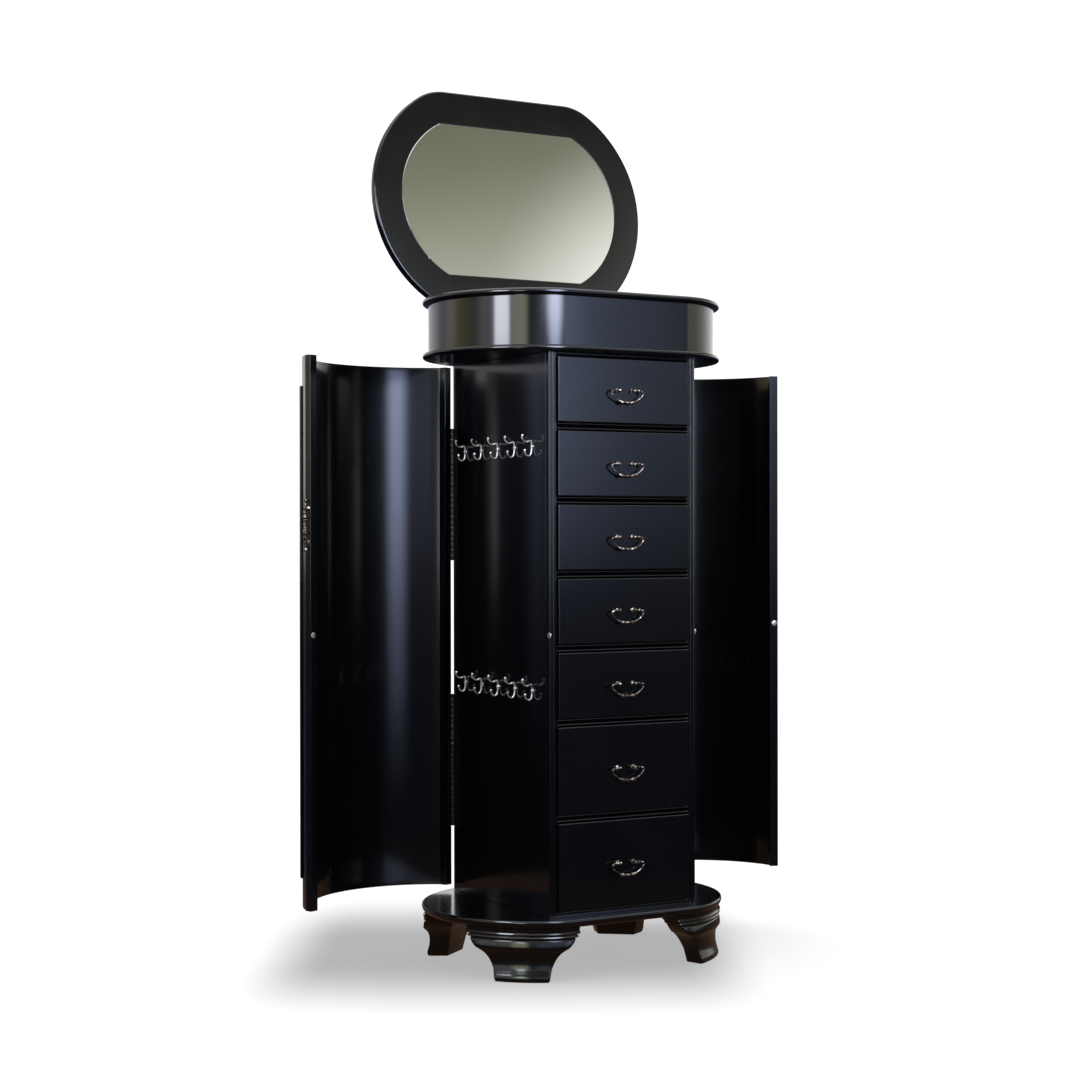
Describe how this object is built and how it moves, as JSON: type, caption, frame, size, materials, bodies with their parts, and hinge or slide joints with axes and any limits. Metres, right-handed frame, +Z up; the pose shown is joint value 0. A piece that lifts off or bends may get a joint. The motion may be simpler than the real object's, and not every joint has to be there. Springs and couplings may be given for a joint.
{
  "type": "jewelry armoire",
  "caption": "Oval standing jewelry armoire on carved feet, with front drawers, curved side doors over necklace hooks and a mirrored lid.",
  "frame": {"origin": "on the floor, under the middle of the overall box with the doors and the lid open", "axes": "+Z up, the drawers face -Y, +X to the right of someone looking at the drawers"},
  "size_m": [0.8462, 0.403, 1.3545],
  "materials": {
    "lacquer": "black gloss lacquer",
    "aged_brass": "antique, dark in the recesses",
    "hinge_steel": "black painted",
    "mirror": "silvered glass",
    "felt": "black felt",
    "bare_wood": "unfinished"
  },
  "bodies": {
    "cabinet": {"back_panel": "lacquer", "base_plate": "lacquer", "door_hinge_left_lower_fixed": "hinge_steel", "door_hinge_left_upper_fixed": "hinge_steel", "door_hinge_right_lower_fixed": "hinge_steel", "door_hinge_right_upper_fixed": "hinge_steel", "drawer_runners_left": "bare_wood", "drawer_runners_right": "bare_wood", "face_frame": "lacquer", "foot_front_left": "lacquer", "foot_front_right": "lacquer", "foot_rear_left": "lacquer", "foot_rear_right": "lacquer", "hook_row_left_lower": "aged_brass", "hook_row_left_upper": "aged_brass", "hook_row_right_lower": "aged_brass", "hook_row_right_upper": "aged_brass", "lid_hinge_fixed": "hinge_steel", "ring_cushion": "felt", "side_panel_left": "lacquer", "side_panel_right": "lacquer", "top_box_floor": "lacquer", "top_box_rim": "lacquer", "top_box_wall": "lacquer", "tray_divider": "felt"},
    "door_left": {"door_hinge_left_lower_moving": "hinge_steel", "door_hinge_left_upper_moving": "hinge_steel", "door_left_pull": "aged_brass", "door_left_raised_panel": "lacquer", "door_left_shell": "lacquer"},
    "door_right": {"door_hinge_right_lower_moving": "hinge_steel", "door_hinge_right_upper_moving": "hinge_steel", "door_right_raised_panel": "lacquer", "door_right_shell": "lacquer"},
    "lid": {"lid_board": "lacquer", "mirror_glass": "mirror", "lid_hinge_moving": "hinge_steel"},
    "drawer_1": {"drawer_1_front": "lacquer", "drawer_1_box": "felt"},
    "bail_1": {"drawer_1_bail": "aged_brass"},
    "drawer_2": {"drawer_2_front": "lacquer", "drawer_2_box": "felt"},
    "bail_2": {"drawer_2_bail": "aged_brass"},
    "drawer_3": {"drawer_3_front": "lacquer", "drawer_3_box": "felt"},
    "bail_3": {"drawer_3_bail": "aged_brass"},
    "drawer_4": {"drawer_4_front": "lacquer", "drawer_4_box": "felt"},
    "bail_4": {"drawer_4_bail": "aged_brass"},
    "drawer_5": {"drawer_5_front": "lacquer", "drawer_5_box": "felt"},
    "bail_5": {"drawer_5_bail": "aged_brass"},
    "drawer_6": {"drawer_6_front": "lacquer", "drawer_6_box": "felt"},
    "bail_6": {"drawer_6_bail": "aged_brass"},
    "drawer_7": {"drawer_7_front": "lacquer", "drawer_7_box": "felt"},
    "bail_7": {"drawer_7_bail": "aged_brass"}
  },
  "joints": [
    {"name": "door_left_hinge", "type": "hinge", "parent": "cabinet", "child": "door_left", "pos_m": [-0.12263, 0.12714, 0.5], "axis": [0, 0, 1], "range_deg": [-22, 68]},
    {"name": "door_right_hinge", "type": "hinge", "parent": "cabinet", "child": "door_right", "pos_m": [0.12987, 0.12714, 0.5], "axis": [0, 0, -1], "range_deg": [-22, 68]},
    {"name": "lid_hinge", "type": "hinge", "parent": "cabinet", "child": "lid", "pos_m": [0.00362, 0.14114, 1.0018], "axis": [1, 0, 0], "range_deg": [0, 97.4]},
    {"name": "drawer_1_slide", "type": "slide", "parent": "cabinet", "child": "drawer_1", "axis": [0, -1, 0], "range_m": [0, 0.19]},
    {"name": "bail_1_swing", "type": "hinge", "parent": "drawer_1", "child": "bail_1", "pos_m": [0.00362, -0.19296, 0.8572], "axis": [-1, 0, 0], "range_deg": [-12, 100]},
    {"name": "drawer_2_slide", "type": "slide", "parent": "cabinet", "child": "drawer_2", "axis": [0, -1, 0], "range_m": [0, 0.19]},
    {"name": "bail_2_swing", "type": "hinge", "parent": "drawer_2", "child": "bail_2", "pos_m": [0.00362, -0.19296, 0.7496], "axis": [-1, 0, 0], "range_deg": [-12, 100]},
    {"name": "drawer_3_slide", "type": "slide", "parent": "cabinet", "child": "drawer_3", "axis": [0, -1, 0], "range_m": [0, 0.19]},
    {"name": "bail_3_swing", "type": "hinge", "parent": "drawer_3", "child": "bail_3", "pos_m": [0.00362, -0.19296, 0.642], "axis": [-1, 0, 0], "range_deg": [-12, 100]},
    {"name": "drawer_4_slide", "type": "slide", "parent": "cabinet", "child": "drawer_4", "axis": [0, -1, 0], "range_m": [0, 0.19]},
    {"name": "bail_4_swing", "type": "hinge", "parent": "drawer_4", "child": "bail_4", "pos_m": [0.00362, -0.19296, 0.5344], "axis": [-1, 0, 0], "range_deg": [-12, 100]},
    {"name": "drawer_5_slide", "type": "slide", "parent": "cabinet", "child": "drawer_5", "axis": [0, -1, 0], "range_m": [0, 0.19]},
    {"name": "bail_5_swing", "type": "hinge", "parent": "drawer_5", "child": "bail_5", "pos_m": [0.00362, -0.19296, 0.4268], "axis": [-1, 0, 0], "range_deg": [-12, 100]},
    {"name": "drawer_6_slide", "type": "slide", "parent": "cabinet", "child": "drawer_6", "axis": [0, -1, 0], "range_m": [0, 0.19]},
    {"name": "bail_6_swing", "type": "hinge", "parent": "drawer_6", "child": "bail_6", "pos_m": [0.00362, -0.19296, 0.30317], "axis": [-1, 0, 0], "range_deg": [-12, 100]},
    {"name": "drawer_7_slide", "type": "slide", "parent": "cabinet", "child": "drawer_7", "axis": [0, -1, 0], "range_m": [0, 0.19]},
    {"name": "bail_7_swing", "type": "hinge", "parent": "drawer_7", "child": "bail_7", "pos_m": [0.00362, -0.19296, 0.16352], "axis": [-1, 0, 0], "range_deg": [-12, 100]}
  ]
}
